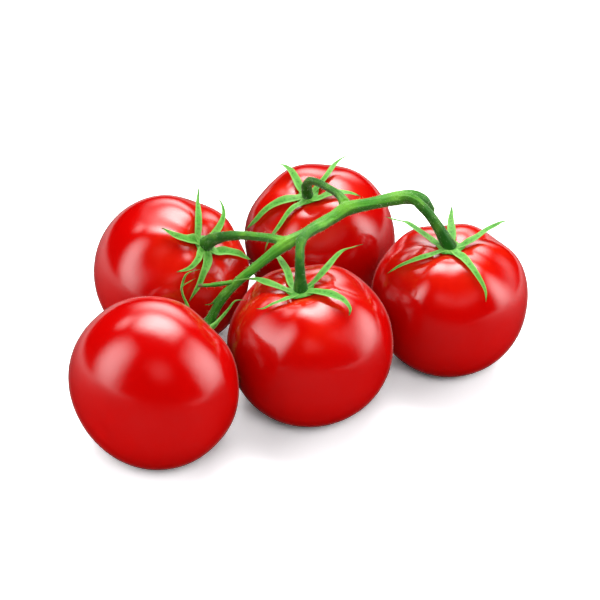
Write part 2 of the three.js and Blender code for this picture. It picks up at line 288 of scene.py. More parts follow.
class Graph:
    """A hand for wiring shader nodes."""

    def __init__(self, tree: bpy.types.NodeTree) -> None:
        """Take up a node tree."""
        self.tree = tree

    def add(self, kind: str, inputs: dict | None = None, **settings: object) -> bpy.types.Node:
        """Add a node.

        Args:
            kind: The node's type, without its ShaderNode prefix.
            inputs: What each named or numbered input takes: an output to link, or a value.
            settings: The node's own settings.

        Returns:
            The new node.
        """
        node = self.tree.nodes.new("ShaderNode" + kind)
        for name, value in settings.items():
            setattr(node, name, value)
        for name, value in (inputs or {}).items():
            if isinstance(value, bpy.types.NodeSocket):
                self.tree.links.new(value, node.inputs[name])
            else:
                node.inputs[name].default_value = value
        return node

    def blend(self, share: object, first: object, second: object) -> bpy.types.NodeSocket:
        """Blend two colours.

        Args:
            share: How much of the second one shows.
            first: The first colour.
            second: The second colour.

        Returns:
            The blended colour's output.
        """
        colours = [c if isinstance(c, bpy.types.NodeSocket) else (*c, 1.0) for c in (first, second)]
        inputs = {0: share, 6: colours[0], 7: colours[1]}
        return self.add("Mix", inputs, data_type="RGBA").outputs[2]

    def rise(self, value: object, low: float, high: float, to: float = 1.0) -> bpy.types.NodeSocket:
        """Rise smoothly from 0 at low to a highest value at high.

        Args:
            value: The value's output.
            low: Where the rise starts.
            high: Where the rise ends.
            to: The highest value.

        Returns:
            The risen value's output.
        """
        inputs = {0: value, 1: low, 2: high, 3: 0.0, 4: to}
        return self.add("MapRange", inputs, interpolation_type="SMOOTHSTEP").outputs[0]

    def math(self, operation: str, first: object, second: object = 0.0) -> bpy.types.NodeSocket:
        """The result of a sum, product or other operation on two values."""
        return self.add("Math", {0: first, 1: second}, operation=operation).outputs[0]

    def times(self, first: object, second: object) -> bpy.types.NodeSocket:
        """The product of two values."""
        return self.math("MULTIPLY", first, second)

    def rest(self, share: object) -> bpy.types.NodeSocket:
        """What a share leaves of one."""
        return self.math("SUBTRACT", 1.0, share)


def new_group(
    name: str, inputs: dict[str, str], outputs: dict[str, str],
) -> tuple[Graph, bpy.types.Node, bpy.types.Node]:
    """Start a shader node group.

    Args:
        name: The group's name.
        inputs: Each input's name and socket type.
        outputs: Each output's name and socket type.

    Returns:
        The group's graph, its input node and its output node.
    """
    tree = bpy.data.node_groups.new(name, "ShaderNodeTree")
    for in_out, sockets in (("INPUT", inputs), ("OUTPUT", outputs)):
        for socket, kind in sockets.items():
            tree.interface.new_socket(socket, in_out=in_out, socket_type="NodeSocket" + kind)
    return Graph(tree), tree.nodes.new("NodeGroupInput"), tree.nodes.new("NodeGroupOutput")


def make_mottle_group() -> bpy.types.NodeTree:
    """A mask of soft patches: 0 and 1 where the noise is under Low and over High.

    Returns:
        The node group.
    """
    sockets = {"Vector": "Vector", "Scale": "Float", "Low": "Float", "High": "Float"}
    graph, given, result = new_group("mottle", sockets, {"Mask": "Float"})
    inputs = {"Vector": given.outputs["Vector"], "Scale": given.outputs["Scale"], "Detail": 3.0}
    noise = graph.add("TexNoise", inputs)
    limits = {0: noise.outputs["Fac"], 1: given.outputs["Low"], 2: given.outputs["High"]}
    mask = graph.add("MapRange", limits, interpolation_type="SMOOTHSTEP")
    graph.tree.links.new(mask.outputs[0], result.inputs["Mask"])
    return graph.tree


def make_relief_group() -> bpy.types.NodeTree:
    """The height of a living skin: a broad unevenness with fine grains on it.

    Returns:
        The node group.
    """
    sockets = {"Vector": "Vector", "Broad Scale": "Float", "Fine Scale": "Float", "Fine Share": "Float"}
    graph, given, result = new_group("relief", sockets, {"Height": "Float"})
    vector = given.outputs["Vector"]
    broad = graph.add("TexNoise", {"Vector": vector, "Scale": given.outputs["Broad Scale"]})
    fine = graph.add("TexNoise", {"Vector": vector, "Scale": given.outputs["Fine Scale"]})
    grains = graph.times(fine.outputs["Fac"], given.outputs["Fine Share"])
    graph.tree.links.new(graph.math("ADD", broad.outputs["Fac"], grains), result.inputs["Height"])
    return graph.tree


@dataclass(frozen=True)
class Patches:
    """Soft patches: how many to a metre or a unit, and the noise at which they start and are full."""

    scale: float
    low: float
    high: float


@dataclass(frozen=True)
class Grain:
    """A living surface: the scales of its two noises, the fine one's share, strength and height."""

    broad: float
    fine: float
    share: float
    strength: float
    height: float = 0.0004


@dataclass(frozen=True)
class Effects:
    """The shared shader effects."""

    mottle: bpy.types.NodeTree
    relief: bpy.types.NodeTree


class Finish:
    """What all the plant's finishes share."""

    def start(self, name: str, effects: Effects) -> None:
        """Make an empty material with its graph and its main shader.

        Args:
            name: The material's name.
            effects: The shared shader effects.
        """
        self.effects = effects
        self.material = bpy.data.materials.new(name)
        self.material.use_nodes = True
        self.graph = Graph(self.material.node_tree)
        self.shader = self.material.node_tree.nodes["Principled BSDF"]
        self.object_place = self.graph.add("TexCoord").outputs["Object"]

    def attribute(self, name: str) -> tuple[bpy.types.NodeSocket, bpy.types.Node]:
        """A vertex attribute's vector, and its three numbers apart."""
        vector = self.graph.add("Attribute", attribute_name=name).outputs["Vector"]
        return vector, self.graph.add("SeparateXYZ", {0: vector})

    def mottle(self, vector: bpy.types.NodeSocket, patches: Patches) -> bpy.types.NodeSocket:
        """A mask of soft patches.

        Args:
            vector: Where the patches are read.
            patches: How they are drawn.

        Returns:
            The mask's output.
        """
        node = self.graph.add("Group", node_tree=self.effects.mottle)
        self.fill(node, {"Vector": vector, "Scale": patches.scale, "Low": patches.low, "High": patches.high})
        return node.outputs["Mask"]

    def relief(self, vector: bpy.types.NodeSocket, grain: Grain) -> bpy.types.NodeSocket:
        """The height of a living surface.

        Args:
            vector: Where the height is read.
            grain: How uneven it is.

        Returns:
            The height's output.
        """
        inputs = {"Vector": vector, "Broad Scale": grain.broad, "Fine Scale": grain.fine}
        node = self.graph.add("Group", node_tree=self.effects.relief)
        self.fill(node, {**inputs, "Fine Share": grain.share})
        return node.outputs["Height"]

    def tint(self, colour: object, mask: object, other: Colour, share: float = 1.0) -> bpy.types.NodeSocket:
        """A colour with another one laid over it.

        Args:
            colour: The colour beneath.
            mask: Where the other one shows.
            other: The other colour.
            share: How much of it shows where the mask is full.

        Returns:
            The tinted colour's output.
        """
        return self.graph.blend(self.graph.times(mask, share), colour, other)

    def fill(self, node: bpy.types.Node, inputs: dict) -> None:
        """Link or set a node's inputs."""
        for name, value in inputs.items():
            if isinstance(value, bpy.types.NodeSocket):
                self.graph.tree.links.new(value, node.inputs[name])
            else:
                node.inputs[name].default_value = value

    def bump(self, height: bpy.types.NodeSocket, grain: Grain) -> None:
        """Let a height show on the surface.

        Args:
            height: The height's output.
            grain: How strongly it shows, and how high it is, in metres.
        """
        inputs = {"Height": height, "Strength": grain.strength, "Distance": grain.height}
        node = self.graph.add("Bump", inputs)
        self.fill(self.shader, {"Normal": node.outputs["Normal"]})


@dataclass(frozen=True)
class SkinLook:
    """The colours and gloss of ripe skin. Shares of the way down run from the stem end."""

    red: Colour = (0.6, 0.0008, 0.0004)
    deep_red: Colour = (0.54, 0.0004, 0.0003)
    orange_red: Colour = (0.74, 0.016, 0.003)
    # Painted reflection: pale pink laid on the rims that turn away from view, standing in for the bright room
    # glancing off them.
    painted_rim_reflection: Colour = (0.85, 0.36, 0.34)
    in_bounce: Colour = (0.1, 0.012, 0.012)
    scar: Colour = (0.33, 0.17, 0.06)
    deeper: Patches = Patches(24.0, 0.2, 0.85)
    warmer: Patches = Patches(60.0, 0.25, 0.7)
    smears: Patches = Patches(90.0, 0.3, 0.75)
    shoulder: tuple[float, float] = (0.05, 0.36)
    # Where the painted rim reflection starts and is full, by how far the skin turns from view, and how much
    # of it shows.
    edge: tuple[float, float, float] = (0.74, 1.0, 0.6)
    roughness: tuple[float, float] = (0.13, 0.16)
    gloss: float = 0.9
    subsurface: float = 0.08
    subsurface_scale: float = 0.004
    grain: Grain = Grain(130.0, 1500.0, 0.12, 0.2)


class SkinFinish(Finish):
    """Ripe tomato skin: saturated red, lighter round the stem end, glossy, with a painted pale reflection on
    the rims that turn away from view.
    """

    def __init__(self, look: SkinLook, effects: Effects) -> None:
        """Build the material."""
        self.start("ripe_skin", effects)
        graph = self.graph
        _, shares = self.attribute("fruit")
        colour = graph.blend(self.mottle(self.object_place, look.deeper), look.red, look.deep_red)
        shoulder = graph.rest(graph.rise(shares.outputs["X"], *look.shoulder))
        warmth = graph.times(shoulder, self.mottle(self.object_place, look.warmer))
        colour = graph.blend(warmth, colour, look.orange_red)
        colour = graph.blend(graph.rise(shares.outputs["Y"], 0.25, 0.8), colour, look.scar)
        # Painted reflection: the rims turned away from view are paled towards pink.
        turned_away = graph.add("LayerWeight", {"Blend": 0.5}).outputs["Facing"]
        colour = graph.blend(graph.rise(turned_away, *look.edge), colour, look.painted_rim_reflection)
        bouncing = graph.add("LightPath").outputs["Is Diffuse Ray"]
        colour = graph.blend(bouncing, colour, look.in_bounce)
        smooth, smeared = look.roughness
        inputs = {0: self.mottle(self.object_place, look.smears), 3: smooth, 4: smeared}
        self.fill(self.shader, {
            "Base Color": colour,
            "Roughness": graph.add("MapRange", inputs).outputs[0],
            "Specular IOR Level": look.gloss,
            "Subsurface Weight": look.subsurface,
            "Subsurface Radius": (1.0, 0.12, 0.06),
            "Subsurface Scale": look.subsurface_scale,
        })
        self.bump(self.relief(self.object_place, look.grain), look.grain)


@dataclass(frozen=True)
class GreenLook:
    """The colours of a stem or stalk."""

    light: Colour = (0.1, 0.42, 0.03)
    dark: Colour = (0.008, 0.1, 0.003)
    bright: Colour = (0.25, 0.58, 0.05)
    dry: Colour = (0.16, 0.1, 0.04)
    streaks: Patches = Patches(2.6, 0.35, 0.7)
    blush: Patches = Patches(160.0, 0.45, 0.75)
    specks: Patches = Patches(1500.0, 0.56, 0.7)
    # Painted shade: how far the surface must turn up before the dark green painted on its underside is gone.
    painted_shade_span: tuple[float, float] = (-0.45, 0.75)
    roughness: float = 0.5
    gloss: float = 0.3
    fuzz: float = 0.12
    grain: Grain = Grain(500.0, 1900.0, 0.5, 0.45)


class StemFinish(Finish):
    """Green stem: streaked, with painted shade beneath and along its shaded stretches, brighter at its nodes
    and dry at a cut end.
    """

    def __init__(self, look: GreenLook, effects: Effects) -> None:
        """Build the material."""
        self.start("stem_green", effects)
        graph = self.graph
        along, _ = self.attribute("grain")
        _, tones = self.attribute("tones")
        # The branch tones darken the green: partly the stem's own darker green, partly painted shade along
        # its shaded stretches.
        colour = graph.blend(tones.outputs["X"], look.light, look.dark)
        streaks = self.mottle(along, look.streaks)
        colour = self.tint(colour, streaks, look.dark, 0.45)
        colour = self.tint(colour, self.mottle(self.object_place, look.blush), look.bright, 0.4)
        colour = self.tint(colour, tones.outputs["Y"], look.bright, 0.8)
        colour = self.tint(colour, self.mottle(self.object_place, look.specks), look.dark, 0.3)
        # Painted shade: the stem is darkened where its surface faces down.
        upward = graph.add("SeparateXYZ", {0: graph.add("NewGeometry").outputs["Normal"]}).outputs["Z"]
        painted_underside_shade = graph.rest(graph.rise(upward, *look.painted_shade_span))
        colour = self.tint(colour, painted_underside_shade, look.dark, 0.85)
        colour = graph.blend(tones.outputs["Z"], colour, look.dry)
        self.fill(self.shader, {
            "Base Color": colour,
            "Roughness": look.roughness,
            "Specular IOR Level": look.gloss,
            "Subsurface Weight": 0.06,
            "Subsurface Radius": (0.3, 1.0, 0.2),
            "Subsurface Scale": 0.0015,
            "Sheen Weight": look.fuzz,
            "Sheen Roughness": 0.4,
            "Sheen Tint": (0.75, 1.0, 0.65, 1.0),
        })
        self.bump(graph.math("ADD", self.relief(self.object_place, look.grain), streaks), look.grain)


@dataclass(frozen=True)
class LeafLook:
    """The colours of a sepal."""

    green: Colour = (0.1, 0.42, 0.04)
    dark: Colour = (0.018, 0.15, 0.008)
    edge: Colour = (0.25, 0.58, 0.11)
    dry: Colour = (0.05, 0.07, 0.015)
    patches: Patches = Patches(240.0, 0.38, 0.68)
    specks: Patches = Patches(1100.0, 0.47, 0.66)
    roughness: float = 0.5
    gloss: float = 0.3
    grain: Grain = Grain(420.0, 1700.0, 0.6, 0.5)


class LeafFinish(Finish):
    """Sepal: pale edges, a darker speckled middle and a dry dark tip."""

    def __init__(self, look: LeafLook, effects: Effects) -> None:
        """Build the material."""
        self.start("sepal_green", effects)
        graph = self.graph
        _, leaf = self.attribute("leaf")
        across, along, tone = (leaf.outputs[axis] for axis in "XYZ")
        patches = self.mottle(self.object_place, look.patches)
        colour = graph.blend(graph.times(patches, 0.55), look.green, look.edge)
        colour = graph.blend(graph.rise(across, 0.35, 0.95), colour, look.edge)
        middle = graph.rest(graph.rise(across, 0.1, 0.75))
        specks = graph.times(middle, self.mottle(self.object_place, look.specks))
        colour = self.tint(colour, specks, look.dark, 0.75)
        colour = self.tint(colour, tone, look.dark, 0.5)
        tip = graph.math("ADD", along, graph.times(patches, 0.05))
        colour = graph.blend(graph.rise(tip, 0.9, 1.0, 0.9), colour, look.dry)
        self.fill(self.shader, {
            "Base Color": colour,
            "Roughness": look.roughness,
            "Specular IOR Level": look.gloss,
            "Subsurface Weight": 0.08,
            "Subsurface Radius": (0.4, 1.0, 0.2),
            "Subsurface Scale": 0.001,
            "Sheen Weight": 0.08,
            "Sheen Roughness": 0.4,
        })
        self.bump(graph.math("ADD", middle, self.relief(self.object_place, look.grain)), look.grain)


class HairFinish(Finish):
    """Fine pale hairs."""

    def __init__(self, effects: Effects) -> None:
        """Build the material."""
        self.start("fine_hairs", effects)
        patches = self.mottle(self.object_place, Patches(200.0, 0.35, 0.65))
        colour = self.graph.blend(patches, (0.5, 0.72, 0.36), (0.72, 0.86, 0.6))
        self.fill(self.shader, {"Base Color": colour, "Roughness": 0.5})


# ---------------------------------------------------------------------------------------------
# Fruits
# ---------------------------------------------------------------------------------------------


@dataclass(frozen=True)
class Lobes:
    """The soft lobes of a fruit's shoulder: how many, how strong, and where one of them is."""

    count: int
    size: float
    phase: float


@dataclass(frozen=True)
class Swell:
    """A broad bulge on one side: which side, how high and how wide."""

    side: tuple[float, float, float] = (1.0, 0.0, 0.0)
    height: float = 0.0
    spread: float = 45.0


@dataclass
class Fruit:
    """One tomato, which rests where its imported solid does."""

    place: Place
    radius: float
    flatness: float
    lean: float
    towards: float
    taper: float
    lobes: Lobes
    swell: Swell = field(default_factory=Swell)
    scar: float = 1.0
    barrel: float = 2.2
    shoulder_down: float = 38.0
    shoulder_spread: float = 26.0
    pleat_depth: float = 0.2
    pleat_down: float = 22.0
    pleat_spread: float = 16.0
    scar_spread: float = 2.2
    dimple_depth: float = 3.5
    dimple_spread: float = 7.5
    navel_depth: float = 0.5
    navel_spread: float = 3.0
    turns: int = 112
    rings: int = 72

    def __post_init__(self) -> None:
        """Work out the tilt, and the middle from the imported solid's box."""
        bearing = np.radians(self.towards)
        hinge = Vector((-np.sin(bearing), np.cos(bearing), 0.0))
        self.tilt = np.array(Quaternion(hinge, np.radians(self.lean)).to_matrix())
        self.middle = np.zeros(3)
        low, high = (np.array(corner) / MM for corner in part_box(self.node))
        bearings, downs = np.meshgrid(np.arange(0.0, 360.0, 3.0), np.arange(0.0, 180.1, 3.0))
        skin = self.tipped(self.outline(bearings.ravel(), downs.ravel()))
        self.middle = (low + high) / 2 - (skin.min(0) + skin.max(0)) / 2
        self.middle[2] = high[2] - skin[:, 2].max()

    @property
    def node(self) -> str:
        """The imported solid's name."""
        return f"tomato_{self.place.value}"

    def outline(self, bearing: Array, down: Array) -> Array:
        """Points on the skin about the fruit's middle, with its stem end up.

        Args:
            bearing: Bearings round the axis.
            down: Angles down from the stem end.

        Returns:
            The points.
        """
        slope = np.radians(down)
        turn = np.radians(bearing)
        across = self.radius * np.abs(np.sin(slope)) ** (2 / self.barrel)
        cosine = np.cos(slope)
        up = self.flatness * self.radius * np.sign(cosine) * np.abs(cosine) ** (2 / self.barrel)
        dimple = self.dimple_depth * bell(across, self.dimple_spread)
        navel = self.navel_depth * bell(across, self.navel_spread)
        up = up + np.where(cosine > 0, -dimple, navel)
        belt = np.sin(slope) * bell(down - self.shoulder_down, self.shoulder_spread)
        wave = np.cos(self.lobes.count * np.radians(bearing - self.lobes.phase))
        swell = 1 + self.lobes.size * belt * wave
        return np.stack([across * np.cos(turn), across * np.sin(turn), up], -1) * swell[..., None]

    def pleats(self, bearing: Array, down: Array) -> Array:
        """How far the skin is drawn in by the creases that run out from the stem end."""
        turn = np.radians(bearing - self.lobes.phase)
        depth = self.pleat_depth * bell(down - self.pleat_down, self.pleat_spread)
        return -depth * np.cos(self.lobes.count * turn) * ease(2.0, 9.0, down)

    def tipped(self, points: Array) -> Array:
        """Points of the upright outline, tipped and swollen as the fruit lies."""
        placed = points @ self.tilt.T
        widening = 1 - self.taper * placed[..., 2:] / self.radius
        placed = placed * np.concatenate([widening, widening, np.ones_like(widening)], -1)
        side = unit(np.array(self.swell.side))
        away = np.degrees(np.arccos(np.clip(unit(placed) @ side, -1, 1)))
        return placed + side * (self.swell.height * bell(away, self.swell.spread))[..., None]

    def skin(self, bearing: Array, down: Array, lift: Array = 0.0) -> tuple[Array, Array]:
        """Places on the skin, or lifted off it, in the part's frame.

        Args:
            bearing: Bearings round the axis.
            down: Angles down from the stem end.
            lift: Heights over the skin.

        Returns:
            The places and the skin's outward normals.
        """
        bearing, down, lift = (np.asarray(value, float) for value in (bearing, down, lift))
        here = self.tipped(self.outline(bearing, down))
        step = 0.5
        above, below = (self.tipped(self.outline(bearing, down + way)) for way in (-step, step))
        before, after = (self.tipped(self.outline(bearing + way, down)) for way in (-step, step))
        axis = np.broadcast_to(self.tilt @ np.array([0.0, 0.0, 1.0]), here.shape)
        outward = np.cross(below - above, after - before)
        outward = unit(np.where(down[..., None] > 0.01, outward, axis))
        return here + outward * lift[..., None] + self.middle, outward

    def build(self) -> bpy.types.Object:
        """Model the fruit from a ball: draw it out, dimple it, crease it and settle it.

        Returns:
            The fruit's object.
        """
        deselect_all()
        bpy.ops.mesh.primitive_uv_sphere_add(segments=self.turns, ring_count=self.rings, radius=1.0)
        fruit = bpy.context.object
        ball = coordinates(fruit)
        bearing = np.degrees(np.arctan2(ball[:, 1], ball[:, 0]))
        down = np.degrees(np.arccos(np.clip(ball[:, 2], -1, 1)))
        upright = self.outline(bearing, down)
        upright -= unit(upright) * self.pleats(bearing, down)[:, None]
        move_vertices(fruit, (self.tipped(upright) + self.middle) * MM)
        scar = self.scar * bell(180.0 - down, self.scar_spread)
        store(fruit, "fruit", np.stack([down / 180.0, scar, np.radians(bearing)], -1))
        apply_modifier(fruit, "SUBSURF", levels=1, render_levels=1)
        settled = coordinates(fruit)
        settled[:, 2] = np.maximum(settled[:, 2], 0.0)
        move_vertices(fruit, settled)
        shade_smooth(fruit)
        return join([fruit], f"fruit_{self.place.value}")


# ---------------------------------------------------------------------------------------------
# Calyxes
# ---------------------------------------------------------------------------------------------


@dataclass(frozen=True)
class Sepal:
    """One sepal, by stations of bearing, angle down from the stem end, and height over the skin."""

    stations: tuple[tuple[float, float, float], ...]
    half_width: float = 1.9
    fullness: float = 2.0
    fold: float = 0.3
    across_faces: int = 8
    along_faces: int = 36
    root_width: float = 0.75
    root_height: float = 1.4
    thickness: float = 0.5
    ripple: float = 0.13
    crimp: float = 0.1
    sway: float = 0.1
    twist: float = 8.0
    shade: float = 0.25

    def width(self, along: Array) -> Array:
        """Half the width at shares of the length: broad below the middle, drawn out to a point."""
        grown = self.root_width + (1 - self.root_width) * ease(0.0, 0.3, along)
        drawn = np.clip(1 - along**self.fullness, 0.0, 1.0) ** 0.9
        return self.half_width * (0.94 * grown * drawn + 0.06 * (1 - along) ** 0.3)

    def build(self, fruit: Fruit, seed: int) -> bpy.types.Object:
        """Model the sepal from a flat grid laid along its stations.

        Args:
            fruit: The fruit that it grows on.
            seed: Sets its own small waves.

        Returns:
            The sepal's object.
        """
        deselect_all()
        bpy.ops.mesh.primitive_grid_add(
            x_subdivisions=self.across_faces, y_subdivisions=self.along_faces, size=2.0)
        blade = bpy.context.object
        grid = coordinates(blade)
        across = grid[:, 0]
        along = (grid[:, 1] + 1) / 2
        rng = np.random.default_rng(seed)
        move_vertices(blade, self._laid(fruit, across, along, rng) * MM)
        tone = np.full_like(along, rng.uniform(0, self.shade))
        store(blade, "leaf", np.stack([np.abs(across), along, tone], -1))
        self._thicken(blade, across, along)
        return blade

    def _laid(self, fruit: Fruit, across: Array, along: Array, rng: np.random.Generator) -> Array:
        """Lay the flat grid along the stations: folded, waved and turned a little.

        Args:
            fruit: The fruit that it grows on.
            across: Each point's place across the blade, from -1 to 1.
            along: Each point's share of the way along it.
            rng: Draws its own small waves.

        Returns:
            The points, in the part's frame.
        """
        stations = np.array([(self.stations[0][0], 1.0, self.root_height), *self.stations], float)
        places, outwards = fruit.skin(stations[:, 0], stations[:, 1], stations[:, 2])
        path = Path(places)
        station = path.knot_place(along) * (len(places) - 1)
        facing = np.stack([np.interp(station, np.arange(len(places)), outwards[:, i]) for i in range(3)], -1)
        tangent = path.tangent(along)
        sideways = unit(np.cross(tangent, facing))
        face = np.cross(sideways, tangent)
        turn = np.radians(rng.uniform(-self.twist, self.twist) * along)[:, None]
        sideways, face = (sideways * np.cos(turn) + face * np.sin(turn),
                          face * np.cos(turn) - sideways * np.sin(turn))
        width = self.width(along)
        cup = self.fold * (np.abs(across) ** 1.5 - 0.4)
        ripple = self.ripple * np.sin(rng.uniform(9, 15) * along + rng.uniform(0, 6)) * across
        ripple += self.crimp * np.sin(rng.uniform(14, 22) * along + rng.uniform(0, 6)) * across**2
        sway = self.sway * np.sin(rng.uniform(7, 11) * along + rng.uniform(0, 6)) * ease(0, 0.3, along)
        points = path.at(along) + sideways * (width * (across + sway))[:, None]
        return points + face * (width * (cup + ripple) * ease(0.0, 0.2, along))[:, None]

    def _thicken(self, blade: bpy.types.Object, across: Array, along: Array) -> None:
        """Give the blade its thickness, thinner at its edges and towards its tip.

        Args:
            blade: The sepal's object.
            across: Each point's place across the blade, from -1 to 1.
            along: Each point's share of the way along it.
        """
        thick = blade.vertex_groups.new(name="thick")
        for index, weight in enumerate((1 - 0.6 * across**2) * (1 - 0.65 * along)):
            thick.add([index], float(weight), "REPLACE")
        apply_modifier(blade, "SOLIDIFY", thickness=self.thickness * MM, offset=0.0, vertex_group="thick",
                       thickness_vertex_group=0.15, use_even_offset=True)
        apply_modifier(blade, "SUBSURF", levels=1, render_levels=1)


@dataclass
class Calyx:
    """The star of sepals at a fruit's stem end, grown as one with the disc under the stalk."""

    fruit: Fruit
    sepals: tuple[Sepal, ...]
    disc_radius: float = 4.3
    disc_height: float = 1.9
    disc_middle: float = 0.45
    disc_depth: float = 0.35
    disc_reach: float = 1.3

    def disc(self) -> bpy.types.Object:
        """Model the disc from a ball pressed flat into the dimple, drawn out towards each sepal.

        Returns:
            The disc's object.
        """
        deselect_all()
        bpy.ops.mesh.primitive_uv_sphere_add(segments=48, ring_count=24, radius=1.0)
        disc = bpy.context.object
        ball = coordinates(disc)
        bearing = np.degrees(np.arctan2(ball[:, 1], ball[:, 0]))
        reach = np.zeros_like(bearing)
        for sepal in self.sepals:
            off = (bearing - sepal.stations[0][0] + 180) % 360 - 180
            reach = np.maximum(reach, bell(off, 20.0))
        out = np.hypot(ball[:, 0], ball[:, 1]) * (self.disc_radius + self.disc_reach * reach)
        down = np.degrees(np.arcsin(np.clip(out / self.fruit.radius, 0, 1) ** (self.fruit.barrel / 2)))
        rise = np.where(ball[:, 2] > 0, self.disc_height - self.disc_middle, self.disc_depth)
        lift = self.disc_middle + rise * ball[:, 2]
        places, _ = self.fruit.skin(bearing, np.maximum(down, 0.02), lift)
        move_vertices(disc, places * MM)
        store(disc, "leaf", np.stack([0.5 * np.ones_like(out), np.zeros_like(out), 0.2 * (1 - reach)], -1))
        return disc

    def build(self) -> bpy.types.Object:
        """Model the sepals and the disc and join them.

        Returns:
            The calyx's object.
        """
        seed = 100 * list(Place).index(self.fruit.place)
        parts = [self.disc()]
        for index, sepal in enumerate(self.sepals):
            parts.append(sepal.build(self.fruit, seed + index))
        calyx = join(parts, f"sepals_{self.fruit.place.value}")
        shade_smooth(calyx)
        return calyx


# ---------------------------------------------------------------------------------------------
# Stems
# ---------------------------------------------------------------------------------------------


@dataclass
class Branch:
    """A length of stem: points along its middle, its radius along them, and its tones, which darken it from
    light green at 0 to dark green at 1: partly its own darker green, partly painted shade.
    """

    points: list[tuple[float, float, float]]
    radii: list[float]
    tones: tuple[float, ...] = (0.0,)
    knuckle: float = 1.0
    joint_swell: float = 0.2

    def __post_init__(self) -> None:
        """Fit the smooth path."""
        self.path = Path(self.points)

    def radius(self, share: Array) -> Array:
        """The radius at shares of the length, with the swollen ring of the knuckle."""
        off = (share - self.knuckle) * self.path.length
        ring = self.joint_swell * (bell(off, 1.8) - 0.8 * bell(off, 0.5))
        return between(self.radii, self.path.knot_place(share)) + (ring if self.knuckle < 1 else 0)

    def tube(self, start: float, end: float, step: float = 0.5) -> bpy.types.Object:
        """Model a stretch of the branch as a tube with closed ends.

        Args:
            start: The share of the length where it starts.
            end: The share of the length where it ends.
            step: The distance between its rings.

        Returns:
            The tube's mesh object.
        """
        count = max(6, int((end - start) * self.path.length / step))
        shares = np.linspace(start, end, count)
        curve = bpy.data.curves.new("tube", "CURVE")
        curve.dimensions = "3D"
        curve.bevel_depth = MM
        curve.bevel_resolution = 6
        curve.use_fill_caps = True
        spline = curve.splines.new("POLY")
        spline.points.add(count - 1)
        places = np.column_stack([self.path.at(shares) * MM, np.ones(count)])
        spline.points.foreach_set("co", places.ravel())
        spline.points.foreach_set("radius", self.radius(shares))
        tube = bpy.data.objects.new("tube", curve)
        bpy.context.scene.collection.objects.link(tube)
        pick(tube)
        bpy.ops.object.convert(target="MESH")
        return bpy.context.object


@dataclass
class StemWork:
    """Turns joined tubes into one living surface, and says what each point of it is."""

    branches: list[Branch]
    knots: tuple[tuple[float, float, float], ...] = ()
    cut: tuple[float, float, float] | None = None
    rib_height: float = 0.1
    bright_spread: float = 4.2
    grain_pace: float = 0.035
    samples: int = 160

    def dress(self, stem: bpy.types.Object) -> None:
        """Rib a stem's surface, and store what its material reads.

        Args:
            stem: The stem's object.
        """
        places = coordinates(stem) / MM
        found = [self._beside(branch, places) for branch in self.branches]
        gaps, grains, tones, ribs = (np.stack(rows) for rows in zip(*found))
        nearest = gaps.argmin(0)
        rows = np.arange(len(places))
        bright = np.zeros(len(places))
        for knot in self.knots:
            away = np.linalg.norm(places - np.array(knot), axis=1)
            bright = np.maximum(bright, bell(away, self.bright_spread))
        dry = np.zeros(len(places))
        if self.cut is not None:
            dry = 1 - ease(1.2, 2.6, np.linalg.norm(places - np.array(self.cut), axis=1))
        move_vertices(stem, (places + ribs[nearest, rows]) * MM)
        store(stem, "grain", grains[nearest, rows])
        store(stem, "tones", np.stack([tones[nearest, rows], bright, dry], -1))

    def _beside(self, branch: Branch, places: Array) -> tuple[Array, Array, Array, Array]:
        """What points of the surface are beside one branch.

        Args:
            branch: The branch.
            places: The points, in millimetres.

        Returns:
            How far out the points are in radii, their place along its grain, their tone, and how its ribs
            move them.
        """
        shares = np.linspace(0.0, 1.0, self.samples)
        middles = branch.path.at(shares)
        gaps = np.linalg.norm(places[:, None] - middles[None], axis=2) / branch.radius(shares)
        index = gaps.argmin(1)
        gap = gaps[np.arange(len(places)), index]
        tangent = branch.path.tangent(shares)
        upright = np.array([0.1, 0.2, 1.0])
        up = unit(upright - tangent * (tangent @ upright)[:, None])
        side = np.cross(tangent, up)
        off = places - middles[index]
        turn = np.arctan2((off * side[index]).sum(1), (off * up[index]).sum(1))
        walked = shares[index] * branch.path.length
        grain = np.stack([np.cos(turn), np.sin(turn), self.grain_pace * walked], -1)
        tone = between([*branch.tones, branch.tones[-1]], shares[index])
        waves = np.cos(5 * turn + 0.04 * walked) + 0.5 * np.cos(9 * turn - 0.03 * walked + 2)
        ribs = unit(off) * (self.rib_height * waves * ease(0.5, 1.0, gap))[:, None]
        return gap, grain, tone, ribs


@dataclass
class MainStem:
    """The rachis with its branches up to their knuckles, and a small bract."""

    pedicels: dict[Place, Branch]
    bract: Branch
    knots: tuple[tuple[float, float, float], ...]
    knot_radius: float = 2.8
    voxel: float = 0.34

    def build(self) -> bpy.types.Object:
        """Model the branches as tubes and grow them into one skin.

        Returns:
            The main stem's object.
        """
        tubes = [branch.tube(0.0, branch.knuckle) for branch in self.pedicels.values()]
        tubes.append(self.bract.tube(0.0, 1.0))
        for knot in self.knots:
            deselect_all()
            bpy.ops.mesh.primitive_ico_sphere_add(
                subdivisions=4, radius=self.knot_radius * MM, location=np.array(knot) * MM)
            swelling = bpy.context.object
            bpy.ops.object.transform_apply(location=True)
            tubes.append(swelling)
        stem = join(tubes, "stem")
        apply_modifier(stem, "REMESH", mode="VOXEL", voxel_size=self.voxel * MM)
        apply_modifier(stem, "SMOOTH", factor=0.5, iterations=5)
        rachis = next(iter(self.pedicels.values()))
        work = StemWork([*self.pedicels.values(), self.bract], self.knots, rachis.points[0])
        work.dress(stem)
        shade_smooth(stem)
        return stem


